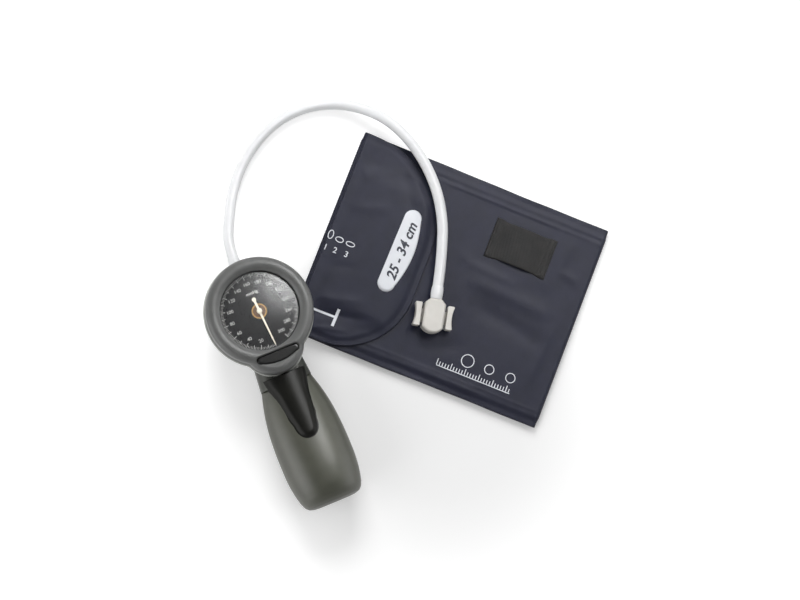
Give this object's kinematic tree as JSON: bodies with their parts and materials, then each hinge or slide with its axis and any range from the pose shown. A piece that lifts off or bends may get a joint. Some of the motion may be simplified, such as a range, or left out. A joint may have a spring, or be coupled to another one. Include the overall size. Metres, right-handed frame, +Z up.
{
  "type": "aneroid sphygmomanometer",
  "caption": "Hand-held blood pressure gauge with a trigger handle and squeeze bulb, joined by an air hose to a folded arm cuff.",
  "frame": {"origin": "centre of the box round the head, handle and cuff, on the table that they lie on", "axes": "+Z up from the table, +X along the longest extent, from the head towards the cuff, +Y towards the hose's far bend"},
  "size_m": [0.2776, 0.2781, 0.0465],
  "materials": {
    "cuff_cloth": "matte coated nylon",
    "hook_tape": "woven hooks",
    "elastic": "ribbed elastic webbing",
    "port_plastic": "satin",
    "connector_plastic": "satin",
    "soft_seal": "matte",
    "spring_steel": "bright",
    "case_plastic": "fine texture",
    "bumper_rubber": "matte",
    "badge_black": "gloss",
    "dial_black": "matte, printed in white",
    "window_clear": "clear",
    "needle_cream": "matte",
    "movement_brass": "turned",
    "movement_aluminium": "machined",
    "jewel_red": "polished",
    "capsule_bronze": "rolled sheet",
    "handle_plastic": "satin",
    "spine_gloss": "gloss",
    "trigger_plastic": "satin",
    "bulb_rubber": "matte",
    "valve_plastic": "satin",
    "hose_grey": "satin",
    "barb_metal": "polished"
  },
  "bodies": {
    "instrument": {"connector_base": "connector_plastic", "connector_body": "connector_plastic", "latch_spring_left": "spring_steel", "latch_spring_right": "spring_steel", "rear_case": "case_plastic", "hose_barb": "barb_metal", "bumper": "bumper_rubber", "badge_plate": "badge_black", "dial_plate": "dial_black", "window_gasket": "soft_seal", "window": "window_clear", "cartridge_tube": "movement_brass", "lower_jewel": "jewel_red", "upper_jewel": "jewel_red", "movement_bridge": "movement_aluminium", "bridge_screws": "spring_steel", "retaining_screws": "spring_steel", "retaining_ring": "movement_aluminium", "diaphragm_seal": "soft_seal", "diaphragm": "capsule_bronze", "ribbon_spring": "capsule_bronze", "neck_union": "movement_brass", "handle_frame": "handle_plastic", "front_spine": "spine_gloss", "neck_cover": "handle_plastic", "cover_screws": "spring_steel", "trigger_pin": "spring_steel", "trigger_spring": "spring_steel", "valve_sleeve": "movement_brass", "valve_spring": "spring_steel", "bulb": "bulb_rubber", "outlet_valve_seat": "valve_plastic", "intake_valve_body": "valve_plastic", "intake_filter": "spring_steel", "air_hose": "hose_grey"},
    "pan": {"diaphragm_pan": "movement_aluminium"},
    "needle": {"needle": "needle_cream", "needle_hub": "movement_brass", "spindle": "spring_steel"},
    "trigger": {"trigger": "trigger_plastic", "valve_stem": "movement_brass"},
    "tab_left": {"squeeze_tab_left": "connector_plastic"},
    "tab_right": {"squeeze_tab_right": "connector_plastic"},
    "outlet_disc": {"outlet_valve_disc": "soft_seal"},
    "intake_disc": {"intake_valve_disc": "soft_seal"},
    "cuff": {"cuff_wrap": "cuff_cloth", "hook_patch": "hook_tape", "strap_loop": "elastic", "cuff_port": "port_plastic", "port_seal": "soft_seal"}
  },
  "joints": [
    {"name": "pan_lift", "type": "slide", "parent": "instrument", "child": "pan", "axis": [0, 0, 1], "range_m": [0, 0.0009], "deforming": ["ribbon_spring", "diaphragm"]},
    {"name": "needle_turn", "type": "hinge", "parent": "pan", "child": "needle", "pos_m": [-0.1029, 0.0017, 0.04], "axis": [0, 0, 1], "range_deg": [-337.5, 0]},
    {"name": "trigger_pull", "type": "hinge", "parent": "instrument", "child": "trigger", "pos_m": [-0.08829, -0.03446, 0.0062], "axis": [-0.9272, -0.3746, 0], "range_deg": [0, 4], "stiffness_Nm_per_rad": 0.2, "springref_deg": -2.86, "deforming": ["trigger_spring", "valve_spring"]},
    {"name": "tab_left_press", "type": "slide", "parent": "instrument", "child": "tab_left", "axis": [0.9863, -0.165, 0], "range_m": [0, 0.001], "stiffness_N_per_m": 300, "deforming": ["latch_spring_left"]},
    {"name": "tab_right_press", "type": "slide", "parent": "instrument", "child": "tab_right", "axis": [-0.9863, 0.165, 0], "range_m": [0, 0.001], "stiffness_N_per_m": 300, "deforming": ["latch_spring_right"]},
    {"name": "outlet_lift", "type": "slide", "parent": "instrument", "child": "outlet_disc", "axis": [-0.3746, 0.9272, 0], "range_m": [0, 0.001]},
    {"name": "intake_lift", "type": "slide", "parent": "instrument", "child": "intake_disc", "axis": [-0.3746, 0.9272, 0], "range_m": [0, 0.001]},
    {"name": "cuff_swivel", "type": "hinge", "parent": "instrument", "child": "cuff", "pos_m": [0.01568, 0.00156, 0.0046], "axis": [0, 0, 1], "range_deg": [-60, 15]}
  ],
  "couplings": [
    {"joint": "needle_turn", "follows": "pan_lift", "rad_per_m": -6540}
  ]
}
